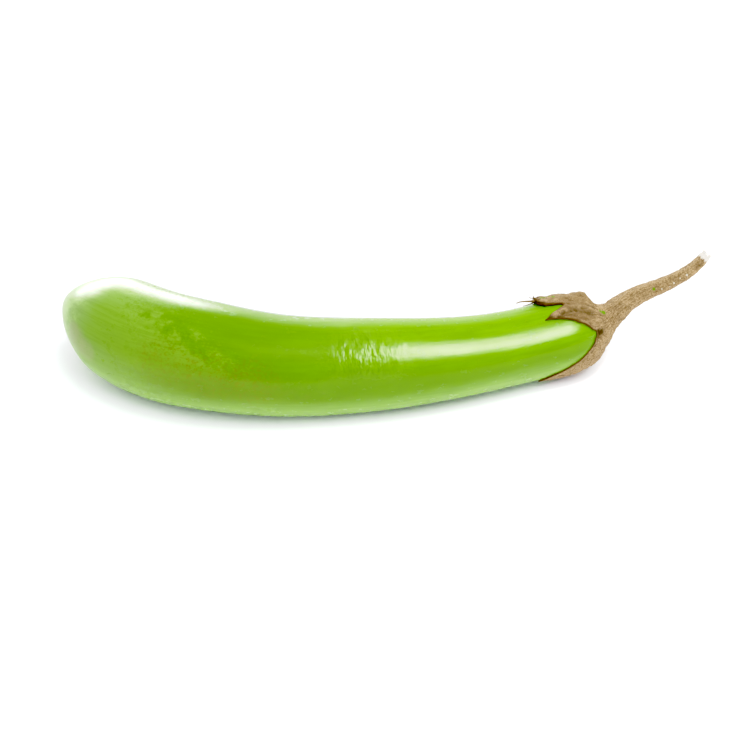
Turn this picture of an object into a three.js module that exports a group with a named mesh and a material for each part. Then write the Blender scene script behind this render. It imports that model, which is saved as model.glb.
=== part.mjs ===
// A long green eggplant that lies on its side, with the dried calyx and stem that it grew on.
// Millimetres, +Z up. It rests on Z = 0, and the origin is under the middle of its box.
// The blossom end points to -X and the stem to +X, and the fruit bends in plan, bulging to -Y.
import * as THREE from 'three';

// Fruit: its spine in plan, from the blossom end. Values stand at shares of the spine's length,
// headings in degrees and the rest in mm.
const spineLength = 235.8;
const blossomEnd = new THREE.Vector3(-130.5, 25.5, 0);
const planHeading = { share: [0, 0.2, 0.4, 0.6, 0.8, 1], value: [-42, -29.5, -3, 9, 20.5, 17] };
const bodyRadius = {
  share: [0, 0.1, 0.2, 0.4, 0.6, 0.8, 1],
  value: [13.7, 20.3, 22.2, 20.5, 18.5, 15.6, 15.8],
};
// Height of the underside over the floor. Below zero it is pressed flat: under the blossom end's
// bulge and under the belly. The third low point is the calyx lobe below the stem end.
const underside = {
  share: [0, 0.09, 0.18, 0.3, 0.43, 0.6, 0.78, 0.9, 1],
  value: [10.5, 3.6, -0.3, 0.2, -0.3, 0.2, 0.7, 1.3, 2.8],
};
// Lengths of the rounded ends along the spine, and the blossom scar's dimple.
const blossomDome = 29;
const stemDome = 22.5;
const scarRadius = 2.6;
const scarDepth = 0.6;
// The body is never quite round. Each swell has its count round the fruit, the angle that it
// turns along the spine, in radians, and its share of the radius.
const swells = [
  { count: 2, turn: 9, depth: 0.008 },
  { count: 3, turn: -14, depth: 0.005 },
];

// Stem: from just above the fruit's stem end, at shares of its own length.
const stemLength = 51;
const stemOffset = 1.3;
const stemHeadings = [19, 27];
const stemRise = { share: [0, 0.2, 0.4, 0.6, 0.8, 1], value: [44, 32, 12, 12, 23, 50] };
const stemRadius = { share: [0, 0.12, 0.3, 0.5, 0.75, 1], value: [6.2, 5.1, 3.9, 3.3, 2.75, 2.2] };
const stemRibs = 5;
const stemRibDepth = 0.06;

// Flare between the stem and the calyx: the share of the stem where it ends, the angle on the stem
// end's dome where it begins, and how far its curve's handles reach.
const flareTop = 0.12;
const flareAngle = 0.6;
const flareBend = 0.35;

// Calyx skin: its gap to the fruit, its thickness, and how much of its relief the inside follows.
const fruitGap = 0.4;
const skinAtFlare = 1.3;
const skinAtMargin = 0.8;
const hollowShare = 0.8;

// Calyx lobes in their order round the fruit. A margin point is [degrees round the fruit, mm from
// the stem end along the spine]. Degrees are 0 at -Y, 90 on top and 270 underneath. Each lobe has
// the gap before it, the bends of its margin up to the tip and back, the heights of the knuckle
// near the flare and of its folded midrib, and how far its margin curls up off the fruit: at the
// gap before it, half-way along each side and at the tip.
const lobes = [
  { gap: [26.5, 7.5], rise: [[50, 13], [60, 16]], tip: [66.5, 28.4], fall: [[73, 26], [82, 19.5]],
    knuckle: 0.5, fold: 0.4, gapCurl: 0.7, curl: [0.9, 0.3], tipCurl: 0.3 },
  { gap: [88, 17], rise: [[95, 21], [90, 28.5]], tip: [115, 27], fall: [[142, 28], [146, 20]],
    knuckle: 1.5, fold: 0.8, gapCurl: 0.4, curl: [1.2, 1.0], tipCurl: 1.8 },
  { gap: [160, 15], rise: [[174, 17], [182, 28]], tip: [196, 31], fall: [[208, 28], [214, 17]],
    knuckle: 0.8, fold: 0.8, gapCurl: 0.3, curl: [0.4, 0.6], tipCurl: 0.8 },
  { gap: [227, 14], rise: [[238, 16], [244, 29]], tip: [259, 30], fall: [[268, 28], [274, 18]],
    knuckle: 0.2, fold: 0.5, gapCurl: 0.2, curl: [0.3, 0.2], tipCurl: 0.2 },
  { gap: [283, 15], rise: [[288, 19], [290, 30]], tip: [309, 33], fall: [[331, 32], [350, 8]],
    knuckle: 0.2, fold: 0.2, gapCurl: 0.2, curl: [0.3, 0.1], tipCurl: 0.2 },
];
// Where the knuckle, fold and curl lie between the flare and the margin.
const knuckleAt = 0.2;
const knuckleWidth = 0.12;
const foldRise = [0, 0.35];
const foldFall = [0.75, 1];
const foldSunk = 0.4;
const curlRise = [0.55, 1];

// How finely the solids are cut.
const pathSteps = 400;
const fruitColumns = 40;
const domeRows = 8;
const bodyRows = 26;
const columnsPerMargin = 7;
const seatRows = 3;
const lobeRows = 8;
const flareRows = 3;
const stemRows = 10;

const radians = THREE.MathUtils.degToRad;
const { clamp, lerp, smoothstep } = THREE.MathUtils;

// A natural cubic through a table's stations, as a function of the share.
function smoothThrough({ share, value }) {
  const last = share.length - 1;
  const bend = new Array(last + 1).fill(0);
  const carried = new Array(last + 1).fill(0);
  for (let i = 1; i < last; i++) {
    const before = share[i] - share[i - 1];
    const after = share[i + 1] - share[i];
    const weight = before / (before + after);
    const pivot = weight * bend[i - 1] + 2;
    const turn = (value[i + 1] - value[i]) / after - (value[i] - value[i - 1]) / before;
    bend[i] = (weight - 1) / pivot;
    carried[i] = ((6 * turn) / (before + after) - weight * carried[i - 1]) / pivot;
  }
  for (let i = last - 1; i > 0; i--) {
    bend[i] = bend[i] * bend[i + 1] + carried[i];
  }
  return at => {
    const passed = share.filter(station => station <= at).length;
    const i = clamp(passed - 1, 0, last - 1);
    const width = share[i + 1] - share[i];
    const b = (at - share[i]) / width;
    const a = 1 - b;
    const curve = (a ** 3 - a) * bend[i] + (b ** 3 - b) * bend[i + 1];
    return a * value[i] + b * value[i + 1] + (curve * width ** 2) / 6;
  };
}

// A path that starts at a point and keeps to a direction given at each share of its length.
function walk(start, length, direction) {
  const points = [start.clone()];
  for (let i = 0; i < pathSteps; i++) {
    const step = direction((i + 0.5) / pathSteps).multiplyScalar(length / pathSteps);
    points.push(points[i].clone().add(step));
  }
  return share => {
    const place = clamp(share, 0, 1) * pathSteps;
    const i = Math.min(Math.floor(place), pathSteps - 1);
    return points[i].clone().lerp(points[i + 1], place - i);
  };
}

function directionOf(headingDegrees, riseDegrees) {
  const turn = radians(headingDegrees);
  const climb = radians(riseDegrees);
  const level = Math.cos(climb);
  return new THREE.Vector3(Math.cos(turn) * level, Math.sin(turn) * level, Math.sin(climb));
}

// The direction out of a path, square to it: 0 degrees is its right side and 90 is upward.
function outwardOf(tangent, around) {
  const left = new THREE.Vector3(-tangent.y, tangent.x, 0).normalize();
  const up = new THREE.Vector3().crossVectors(tangent, left);
  return left.multiplyScalar(-Math.cos(around)).addScaledVector(up, Math.sin(around));
}

const heading = smoothThrough(planHeading);
const radius = smoothThrough(bodyRadius);
const lift = smoothThrough(underside);
const planPath = walk(blossomEnd, spineLength, share => directionOf(heading(share), 0));

function spineHeight(share) {
  return radius(share) + lift(share);
}

function spinePoint(share) {
  return planPath(share).setZ(spineHeight(share));
}

function spineTangent(share) {
  const step = 0.002;
  const climb = spineHeight(share + step) - spineHeight(share - step);
  const tangent = directionOf(heading(share), 0);
  tangent.z = climb / (2 * step * spineLength);
  return tangent.normalize();
}

// How much of the full radius an elliptical end has left, and how far the skin leans to the end.
function dome(fromEnd, length) {
  const rest = Math.max(0, 1 - fromEnd / length);
  return { girth: Math.sqrt(1 - rest ** 2), lean: rest / length };
}

function swelling(share, around) {
  const terms = swells.map(({ count, turn, depth }) => depth * Math.sin(count * around + turn * share));
  return 1 + terms.reduce((sum, term) => sum + term, 0);
}

// A point at a height over the fruit's skin. Nothing goes below the floor.
function fruitPoint(share, around, height) {
  const fromBlossom = share * spineLength;
  const blossom = dome(fromBlossom, blossomDome);
  const stem = dome(spineLength - fromBlossom, stemDome);
  const tangent = spineTangent(share);
  const outward = outwardOf(tangent, around);
  const girth = blossom.girth * stem.girth;
  const normal = outward.clone().multiplyScalar(girth / radius(share));
  normal.addScaledVector(tangent, stem.lean - blossom.lean).normalize();
  const fromAxis = radius(share) * girth * swelling(share, around);
  const point = spinePoint(share).addScaledVector(outward, fromAxis).addScaledVector(normal, height);
  return point.setZ(Math.max(point.z, 0));
}

// The blossom end's scar is a shallow dimple at the pole.
function scarDip(share) {
  const fromPole = radius(share) * dome(share * spineLength, blossomDome).girth;
  return -scarDepth * Math.max(0, 1 - (fromPole / scarRadius) ** 2);
}

// One closed skin through rings of points, from a first pole to a last one. Each quad is split
// along its shorter diagonal.
function closedSkin(firstPole, rings, lastPole) {
  const count = rings[0].length;
  const points = [firstPole, ...rings.flat(), lastPole];
  const index = [];
  const at = (row, column) => 1 + row * count + (column % count);
  for (let column = 0; column < count; column++) {
    index.push(0, at(0, column), at(0, column + 1));
    index.push(points.length - 1, at(rings.length - 1, column + 1), at(rings.length - 1, column));
  }
  for (let row = 0; row + 1 < rings.length; row++) {
    for (let column = 0; column < count; column++) {
      const [a, b] = [at(row, column), at(row, column + 1)];
      const [c, d] = [at(row + 1, column), at(row + 1, column + 1)];
      if (points[a].distanceTo(points[d]) < points[b].distanceTo(points[c])) {
        index.push(a, c, d, a, d, b);
      } else {
        index.push(a, c, b, b, c, d);
      }
    }
  }
  const geometry = new THREE.BufferGeometry().setFromPoints(points);
  geometry.setIndex(index);
  geometry.computeVertexNormals();
  return geometry;
}

function namedMesh(name, geometry, color, roughness) {
  const material = new THREE.MeshStandardMaterial({ color, roughness, metalness: 0 });
  const mesh = new THREE.Mesh(geometry, material);
  mesh.name = name;
  return mesh;
}

// How far from a dome's end its rings lie: evenly in angle, so closer together near the pole.
function domeSteps(length) {
  const steps = [];
  for (let row = 1; row <= domeRows; row++) {
    steps.push((1 - Math.cos((row / domeRows) * (Math.PI / 2))) * length);
  }
  return steps;
}

// Shares of the spine for the fruit's rings, even on the body between the domes.
function fruitShares() {
  const blossomShares = domeSteps(blossomDome).map(step => step / spineLength);
  const stemShares = domeSteps(stemDome).map(step => 1 - step / spineLength).reverse();
  const bodyShares = [];
  for (let row = 1; row < bodyRows; row++) {
    bodyShares.push(lerp(blossomShares.at(-1), stemShares[0], row / bodyRows));
  }
  return [...blossomShares, ...bodyShares, ...stemShares];
}

// Two columns straddle the very bottom, so that the pressed spots are flat strips between them.
function makeFruit() {
  const rings = fruitShares().map(share => {
    const ring = [];
    for (let column = 0; column < fruitColumns; column++) {
      const around = ((column + 0.5) / fruitColumns - 0.25) * 2 * Math.PI;
      ring.push(fruitPoint(share, around, scarDip(share)));
    }
    return ring;
  });
  const skin = closedSkin(fruitPoint(0, 0, scarDip(0)), rings, fruitPoint(1, 0, 0));
  return namedMesh('fruit', skin, 0x8cc411, 0.32);
}

// The meridian angle that stands for a distance from the stem end: it turns through a right
// angle on the dome and then grows by the same length of skin.
function meridianAngle(fromStem) {
  if (fromStem < stemDome) {
    return Math.acos(1 - fromStem / stemDome);
  }
  return Math.PI / 2 + (fromStem - stemDome) / radius(1);
}

function shareAtAngle(angle) {
  const fromStem = angle < Math.PI / 2
    ? stemDome * (1 - Math.cos(angle))
    : stemDome + (angle - Math.PI / 2) * radius(1);
  return 1 - fromStem / spineLength;
}

// The calyx's columns, clockwise as seen from the stem. Each has its angle round the stem, its
// margin point and the lobe's relief there, which is full at the lobe's tip and none at a gap.
function calyxColumns() {
  const columns = [];
  lobes.forEach((lobe, i) => {
    const nextLobe = lobes[(i + 1) % lobes.length];
    const [nextAround, nextFromStem] = nextLobe.gap;
    const nextGap = [nextAround < lobe.tip[0] ? nextAround + 360 : nextAround, nextFromStem];
    const sides = [
      [lobe.gap, ...lobe.rise, lobe.tip],
      [lobe.tip, ...lobe.fall, nextGap],
    ];
    sides.forEach((side, which) => {
      const margin = new THREE.CubicBezierCurve(...side.map(([x, y]) => new THREE.Vector2(x, y)));
      const gapCurl = which === 0 ? lobe.gapCurl : nextLobe.gapCurl;
      for (let step = 0; step < columnsPerMargin; step++) {
        const share = step / columnsPerMargin;
        const tipness = which === 0 ? share : 1 - share;
        const edge = margin.getPoint(share);
        columns.push({
          around: radians(lerp(side[0][0], side[3][0], share)),
          marginAround: radians(edge.x),
          marginAngle: meridianAngle(edge.y),
          knuckle: lobe.knuckle * smoothstep(tipness, 0, 1),
          fold: lobe.fold * smoothstep(tipness, 0, 1),
          curl: lerp(lerp(gapCurl, lobe.tipCurl, tipness), lobe.curl[which], 4 * tipness * (1 - tipness)),
        });
      }
    });
  });
  return columns;
}

// How far a column's skin stands off the fruit at a share of the way from the flare to the margin:
// the knuckle, the midrib's fold, which rises early and sinks at the tip, and the curl at the end.
function relief(column, along) {
  const knuckle = Math.exp(-(((along - knuckleAt) / knuckleWidth) ** 2));
  const fold = smoothstep(along, ...foldRise) * (1 - foldSunk * smoothstep(along, ...foldFall));
  const curl = smoothstep(along, ...curlRise);
  return column.knuckle * knuckle + column.fold * fold + column.curl * curl;
}

function calyxPoint(column, along, height) {
  const angle = lerp(flareAngle, column.marginAngle, along);
  const around = lerp(column.around, column.marginAround, along ** 1.5);
  return fruitPoint(shareAtAngle(angle), around, height);
}

function outerPoint(column, along) {
  const skin = lerp(skinAtFlare, skinAtMargin, along);
  return calyxPoint(column, along, fruitGap + skin + relief(column, along));
}

// The inside follows the folds and curls, so that a lifted lobe is hollow underneath.
function innerPoint(column, along) {
  return calyxPoint(column, along, fruitGap + hollowShare * relief(column, along));
}

// The part of the inside that faces the fruit's very end, within the flare.
function seatPoint(column, share) {
  return fruitPoint(shareAtAngle(flareAngle * share), column.around, fruitGap);
}

const climb = smoothThrough(stemRise);
const stemGirth = smoothThrough(stemRadius);
const stemDirection = share => directionOf(lerp(...stemHeadings, share), climb(share));
const stemFoot = spinePoint(1).add(new THREE.Vector3(0, 0, stemOffset));
const stemPath = walk(stemFoot, stemLength, stemDirection);

function stemPoint(column, share) {
  const outward = outwardOf(stemDirection(share), column.around);
  const rib = 1 + stemRibDepth * Math.cos(stemRibs * column.around);
  return stemPath(share).addScaledVector(outward, stemGirth(share) * rib);
}

// The concave flare between the calyx's skin and the stem, one curve to a column.
function flareCurve(column) {
  const foot = outerPoint(column, 0);
  const neck = stemPoint(column, flareTop);
  const reach = flareBend * foot.distanceTo(neck);
  const footSlope = foot.clone().sub(outerPoint(column, 1 / lobeRows)).setLength(reach);
  const neckSlope = stemDirection(flareTop).setLength(reach);
  return new THREE.CubicBezierCurve3(
    foot, foot.clone().add(footSlope), neck.clone().sub(neckSlope), neck);
}

// From the seat out along the inside to the margin, back over the outside, up the flare and stem,
// and over the cut end.
function makeCalyxAndStem() {
  const columns = calyxColumns();
  const flares = columns.map(flareCurve);
  const rings = [];
  for (let row = 1; row < seatRows; row++) {
    rings.push(columns.map(column => seatPoint(column, row / seatRows)));
  }
  for (let row = 0; row <= lobeRows; row++) {
    rings.push(columns.map(column => innerPoint(column, row / lobeRows)));
  }
  for (let row = lobeRows; row >= 0; row--) {
    rings.push(columns.map(column => outerPoint(column, row / lobeRows)));
  }
  for (let row = 1; row <= flareRows; row++) {
    rings.push(flares.map(flare => flare.getPoint(row / (flareRows + 1))));
  }
  for (let row = 0; row <= stemRows; row++) {
    rings.push(columns.map(column => stemPoint(column, lerp(flareTop, 1, row / stemRows))));
  }
  const skin = closedSkin(fruitPoint(1, 0, fruitGap), rings, stemPath(1));
  return namedMesh('calyx_and_stem', skin, 0xb99a68, 0.85);
}

const eggplant = new THREE.Group();
eggplant.add(makeFruit(), makeCalyxAndStem());

export default eggplant;
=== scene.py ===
"""A long green eggplant that lies on its side, with the dried calyx and stem that it grew on.

The shapes are worked out in millimetres, in the part's own frame and from the same driving
dimensions as its solids, and become Blender meshes in metres.
"""
import math

import bpy
import numpy as np
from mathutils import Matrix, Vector, noise


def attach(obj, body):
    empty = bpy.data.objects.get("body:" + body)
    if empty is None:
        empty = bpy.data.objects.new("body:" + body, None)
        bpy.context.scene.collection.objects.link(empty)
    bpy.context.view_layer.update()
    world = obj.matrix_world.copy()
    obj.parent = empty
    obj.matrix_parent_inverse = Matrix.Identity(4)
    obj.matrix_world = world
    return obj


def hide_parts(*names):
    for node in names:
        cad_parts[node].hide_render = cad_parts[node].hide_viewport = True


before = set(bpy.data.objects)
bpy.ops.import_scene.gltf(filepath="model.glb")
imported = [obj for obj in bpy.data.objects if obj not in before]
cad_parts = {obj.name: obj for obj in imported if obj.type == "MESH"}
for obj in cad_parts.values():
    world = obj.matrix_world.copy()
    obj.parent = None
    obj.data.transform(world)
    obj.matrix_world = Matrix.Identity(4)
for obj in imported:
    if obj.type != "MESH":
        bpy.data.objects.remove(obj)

MM = 0.001
TURN = 2 * math.pi
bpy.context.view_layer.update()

# The fruit, as in its solid. Tables hold shares of the spine's length and the values there.
SPINE_LENGTH = 235.8
BLOSSOM_END = (-130.5, 25.5, 0)
PLAN_HEADING = ((0, 0.2, 0.4, 0.6, 0.8, 1), (-42, -29.5, -3, 9, 20.5, 17))
BODY_RADIUS = ((0, 0.1, 0.2, 0.4, 0.6, 0.8, 1), (13.7, 20.3, 22.2, 20.5, 18.5, 15.6, 15.8))
UNDERSIDE = (
    (0, 0.09, 0.18, 0.3, 0.43, 0.6, 0.78, 0.9, 1),
    (10.5, 3.6, -0.3, 0.2, -0.3, 0.2, 0.7, 1.3, 2.8),
)
BLOSSOM_DOME = 29
STEM_DOME = 22.5
SCAR_RADIUS = 2.6
SCAR_DEPTH = 0.6
# Each swell has its count round the fruit, its turn along the spine and its share of the radius.
SWELLS = ((2, 9, 0.008), (3, -14, 0.005))
# The skin's looks are laid out on a cylinder of this radius, as long as the spine.
SKIN_MAP_RADIUS = 20

# The stem, as in its solid.
STEM_LENGTH = 51
STEM_OFFSET = 1.3
STEM_HEADINGS = (19, 27)
STEM_RISE = ((0, 0.2, 0.4, 0.6, 0.8, 1), (44, 32, 12, 12, 23, 50))
STEM_RADIUS = ((0, 0.12, 0.3, 0.5, 0.75, 1), (6.2, 5.1, 3.9, 3.3, 2.75, 2.2))
STEM_RIBS = 5
STEM_RIB_DEPTH = 0.06
FLARE_TOP = 0.12
FLARE_ANGLE = 0.6
FLARE_BEND = 0.35

# The calyx, in the measures of its solid. A margin point is (degrees round the fruit, mm from the
# stem end). A lobe has its margin from one gap over its tip to the next gap, the height of its
# knuckle and of its fold, and how far its margin curls up at the gap before it, in the middle of
# both sides and at its tip. The solid's margin is thicker, with a wider gap under it and evener
# folds and curls. Only here does a side also have a rolled lip and a groove behind the lip.
FRUIT_GAP = 0.4
GAP_AT_MARGIN = 0.08
SKIN_AT_FLARE = 1.3
SKIN_AT_MARGIN = 0.32
HOLLOW_SHARE = 0.8
HOLLOW_AT_MARGIN = 0.1
HOLLOW_FALL = (0.75, 1)
LOBE_SPREAD = 1.5
LOBES = (
    dict(gap=(26.5, 7.5), rise=((50, 13), (60, 16)), tip=(66.5, 28.4), fall=((73, 26), (82, 19.5)),
         knuckle=0.5, fold=0.4, gap_curl=0.12, curl=(0.6, 0.3), tip_curl=0.3,
         lip=(0.5, 0.15), groove=(0.5, 0.1)),
    dict(gap=(88, 17), rise=((95, 21), (90, 28.5)), tip=(115, 27), fall=((142, 28), (146, 20)),
         knuckle=1.5, fold=1.1, gap_curl=0.3, curl=(0.65, 0.8), tip_curl=1.2,
         lip=(0.25, 0.3), groove=(0.3, 0.3)),
    dict(gap=(160, 15), rise=((174, 17), (182, 28)), tip=(196, 31), fall=((208, 28), (214, 17)),
         knuckle=0.8, fold=0.8, gap_curl=0.3, curl=(0.4, 0.6), tip_curl=0.8,
         lip=(0.3, 0.3), groove=(0.3, 0.3)),
    dict(gap=(227, 14), rise=((238, 16), (244, 29)), tip=(259, 30), fall=((268, 28), (274, 18)),
         knuckle=0.2, fold=0.5, gap_curl=0.2, curl=(0.3, 0.2), tip_curl=0.2,
         lip=(0.1, 0.1), groove=(0.1, 0.1)),
    dict(gap=(283, 15), rise=((288, 19), (290, 30)), tip=(309, 33), fall=((331, 32), (350, 8)),
         knuckle=0.2, fold=0.2, gap_curl=0.2, curl=(0.3, 0.1), tip_curl=0.2,
         lip=(0.2, 0.05), groove=(0.1, 0.2)),
)
KNUCKLE_AT = 0.2
KNUCKLE_WIDTH = 0.12
FOLD_RISE = (0, 0.35)
FOLD_FALL = (0.75, 1)
FOLD_SUNK = 0.4
CURL_RISE = (0.55, 1)
LIP_AT = 0.93
LIP_WIDTH = 0.05
GROOVE_AT = 0.76
GROOVE_WIDTH = 0.1
# Where the margin's own darker brown fades in towards the margin, and the pale end towards the
# stem's cut. The inside that faces the fruit takes the same brown all over, as painted shade.
BROWN_EDGE = (0.94, 0.99)
PALE_END = (0.93, 1)

# Fine relief: wrinkles that run lengthwise over the calyx and stem, creases and lumps in any
# direction, how all that fades in from the margin, how much of it the stem keeps and from where,
# and the margin's raggedness.
WRINKLE_DEPTH = 0.16
WRINKLE_CREST = 0.4
WRINKLE_STEEPNESS = 2
WRINKLES_ROUND = 4.5
WRINKLE_LENGTH = 9
CREASE_DEPTH = 0.25
CREASE_SIZE = 1.7
LUMP_DEPTH = 0.45
LUMP_SIZE = 3.6
RELIEF_FROM_MARGIN = (0, 0.2)
STEM_RELIEF = 0.5
STEM_RELIEF_FROM = 0.3
MARGIN_RAGS = 0.9
RAG_TURNS = 12
# The fruit's own relief: long flutes and faint dents, how many there are to a millimetre in each
# direction, and how far from the blossom end's pole they have their full depth.
FLUTE_DEPTH = 0.1
FLUTE_SCALE = (0.012, 0.14, 0.14)
DENT_DEPTH = 0.05
DENT_SCALE = (0.07, 0.1, 0.1)
RELIEF_FULL_AT = 2 * SCAR_RADIUS
# Shifts that keep one noise from looking like another of the same scale.
DENT_SHIFT = 40
LUMP_SHIFT = 30
BLOTCH_SHIFT = (9, 9, 9)
# Small places on the calyx, as (degrees round the fruit, mm from the stem end, height, radius):
# the furrow behind the near lobe's lip and the pit where that lobe meets the next one, which both
# sink by the pit's depth and are painted dark as shade, the near lobe's dark tip, the two lobes
# that are darker as a whole, and flecks that are still green.
FURROW = (
    (64, 22.3, 1.5, 1.7), (66.5, 20.9, 1.5, 2), (69, 18.6, 1.5, 2.2), (73, 16.4, 1.4, 2.3),
    (73, 14.1, 1.5, 2.4), (71, 12.2, 1.7, 2.4), (67, 10.7, 2, 2.2), (63, 9.5, 2, 1.9),
    (59, 8.2, 2, 1.6), (82, 8.1, 1.5, 1.6), (78, 6.2, 1.8, 1.5),
)
PIT = (
    (30, 8, 1.3, 1.1), (26.5, 6.9, 1.1, 1.4), (23.6, 5.7, 1.2, 1.7), (22, 6.6, 1.1, 1.4),
    (17, 7.3, 1, 1), (11, 8, 0.9, 0.7), (3, 9.4, 0.9, 0.7), (-5, 11.1, 1, 0.6),
)
PIT_DEPTH = 0.45
DARK_TIP = ((65.5, 27.2, 1, 3.3),)
DARK_LOBES = ((68, 14, 2, 10), (100, 14, 3, 15), (106, 25, 2, 8))
GREEN_FLECKS = (
    (68, 2.9, 2.1, 1.2), (70, 3.8, 1.7, 0.9), (112, 24.6, 2.8, 1.1), (111, 23.2, 2.8, 1.2),
    (110, 21.6, 2.6, 1.2), (107, 20, 2.4, 1.1),
)
# The furrow's painted shade: how dark it is, how much creases break it up, and its least and most.
FURROW_SHADE = 0.45
FURROW_BREAKS = 0.6
FURROW_LIMITS = (0.15, 0.85)
# The shares of a small place's radius up to which its relief and its colour stay full.
RELIEF_CORE = 0.4
COLOR_CORE = 0.5
# Small places on the stem, as (share of its length, degrees round it, radius).
STEM_GREEN_FLECKS = ((0.466, 37, 0.9),)
STEM_PALE_SPECKS = (
    (0.773, 24, 0.6), (0.644, 18, 0.5), (0.53, 15, 0.45), (0.71, 30, 0.35), (0.6, 8, 0.3),
)
# Blotches of the fruit's skin, as (degrees round the fruit, mm from the stem end, height, radius).
TAN_BLOTCHES = ((5, 212.4, 0, 8), (12, 215, 0, 6), (2, 206.4, 0, 6))
RUSTY_BLOTCHES = ((12, 145, 0, 14), (15, 160, 0, 14), (20, 175, 0, 14))
# Dried threads at the tip of the top lobe, and how far they have a margin's brown. Each is a
# curve's end, its two handles and its other end, as (degrees round the fruit, mm from the stem end,
# height), with the thickness at both ends.
THREAD_EDGE = 0.4
TIP_THREADS = (
    (((108, 25.5, 2.0), (110, 30.8, 1.6), (110, 33.0, 3.4), (110, 36.4, 2.6)), 1.1, 0.5),
    (((110, 26.6, 2.2), (110, 27.9, 2.2), (110, 28.3, 3.0), (107, 28.8, 4.5)), 0.8, 0.4),
    (((112, 27.5, 1.2), (113, 29.4, 0.9), (114, 31.0, 0.5), (118, 32.6, 0.4)), 0.7, 0.3),
    (((98, 25.0, 1.8), (101, 28.8, 2.4), (110, 28.4, 3.6), (112, 25.4, 3.0)), 0.7, 0.4),
    (((116, 25.5, 2.4), (120, 28.5, 2.4), (121, 28.9, 2.9), (119, 29.2, 3.4)), 0.6, 0.3),
)
# Pale fibres that stand out of the stem's cut: how many, how unevenly they go round it, at which
# share of its radius, how far they stand out, how much they lean outward or inward, and their
# thickness at both ends.
CUT_FIBRES = 22
CUT_FIBRE_SHIFT = (-0.3, 0.3)
CUT_FIBRE_GIRTH = 0.8
CUT_FIBRE_LENGTH = (0.8, 2.0)
CUT_FIBRE_SPREAD = (-0.5, 0.4)
CUT_FIBRE_THICKNESS = (0.45, 0.15)

# Colours, as seen on a screen, from 0 to 255: the skin's, and then the calyx and stem's.
LIME = (96, 137, 0)
LIME_BY_STEM = (110, 153, 0)
STREAK = (104, 147, 0)
STREAK_BY_STEM = (115, 161, 0)
MOTTLED_LIME = (94, 135, 0)
CLOUDED_LIME = (102, 145, 0)
# Painted shade: the lower half's darker lime.
LIME_IN_PAINTED_SHADE = (92, 130, 0)
# Painted light and shade: the olive part's lighter top and darker lower side.
OLIVE_IN_PAINTED_LIGHT = (124, 160, 68)
OLIVE_IN_PAINTED_SHADE = (98, 130, 16)
BLOSSOM_OLIVE_IN_PAINTED_SHADE = (118, 156, 44)
# Painted reflection of the floor: the paler underside.
PAINTED_FLOOR_REFLECTION = (122, 160, 58)
DARK_LINE = (94, 130, 10)
# The bloom, partly its own pale colour and partly painted sheen, lighter on top as painted light.
LIT_BLOOM_AND_SHEEN = (164, 206, 110)
SHADED_BLOOM_AND_SHEEN = (134, 174, 72)
TAN_BLOTCH = (134, 150, 88)
RUSTY_BLOTCH = (112, 118, 16)
SCAR_TAN = (160, 152, 112)
DRY_DARK = (120, 99, 64)
DRY_PALE = (174, 150, 115)
DARKER_LOBE = (122, 101, 66)
DARK_FIBRE = (112, 90, 52)
STEM_LINE = (104, 84, 46)
DRY_BLOTCH = (108, 86, 48)
# Painted shade in the creases.
CREASE_SHADE_BROWN = (88, 68, 30)
RIDGE_TAN = (176, 152, 116)
# Painted shade in the pit and furrow, also the near lobe's dark tip.
SHADE_AND_TIP_BROWN = (70, 54, 14)
# The margin's own darker brown, also painted on the inside as shade.
MARGIN_AND_UNDERSIDE_SHADE_BROWN = (92, 66, 22)
FLECK_GREEN = (96, 130, 30)
SPECK_GREY = (190, 184, 166)
FRAYED_WHITE = (222, 216, 202)

# The skin's noises: how many there are to a millimetre along the spine and across it, how detailed
# and how rough they are.
SKIN_NOISES = {
    "streaks": (0.02, 0.45, 5, 0.6),
    "mottle": (0.22, 0.3, 5, 0.65),
    "clouds": (0.03, 0.06, 3, 0.5),
    "grain": (0.9, 1.1, 4, 0.7),
    "lines": (0.05, 0.9, 4, 0.65),
    "ripples": (0.34, 0.16, 2, 0.5),
}
# Where the skin's looks change, in mm along the spine from the blossom end, or in mm of height on
# the skin's cylinder. The olive part's edge slants by its height times the slant, the paler
# underside, a painted reflection of the floor, sinks towards the stem, and the skin is rougher up
# to the satin edge.
LIME_TURN = (95, 150)
# Painted shade darkens the skin below these heights, fading out between them.
SHADED_SKIN_HEIGHTS = (0, 14)
OLIVE_EDGE = (90, 118)
OLIVE_SLANT = 2.8
OLIVE_TURN = (40, 80)
UNDERSIDE_EDGE = (-10, -1)
UNDERSIDE_SINKS = (140, 200, 0, -4)
BLOOM_EDGE = (5, 24)
SCAR_EDGE = (1.5, 6)
SATIN_EDGE = (10, 80)
# The shoulder, where the gloss is rippled, fades in by each of these measures from the first
# number to the second.
SHOULDER = (("along", 110, 130), ("along", 154, 134), ("front", 2, 8), ("top", 4, 10))
SHOULDER_ROUGHNESS = 0.1
# How far the fine bumps of the looks stand out, in metres.
RIPPLE_HEIGHT = 0.0011
STREAK_HEIGHT = 0.00006
MOTTLE_HEIGHT = 0.0001
FIBRE_HEIGHT = 0.0002
# How fine the calyx's fibres, grain and blotches are, the side of the stem that has darker lines,
# and how far round to it they fade in.
FIBRE_SCALE = (3.2, 3.2, 0.25)
GRAIN_SCALE = 1.5
BLOTCH_SCALE = 0.28
LINED_SIDE = (0.8, 0.6, 0)
LINES_FADE = (3.6, 4.4)

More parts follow.
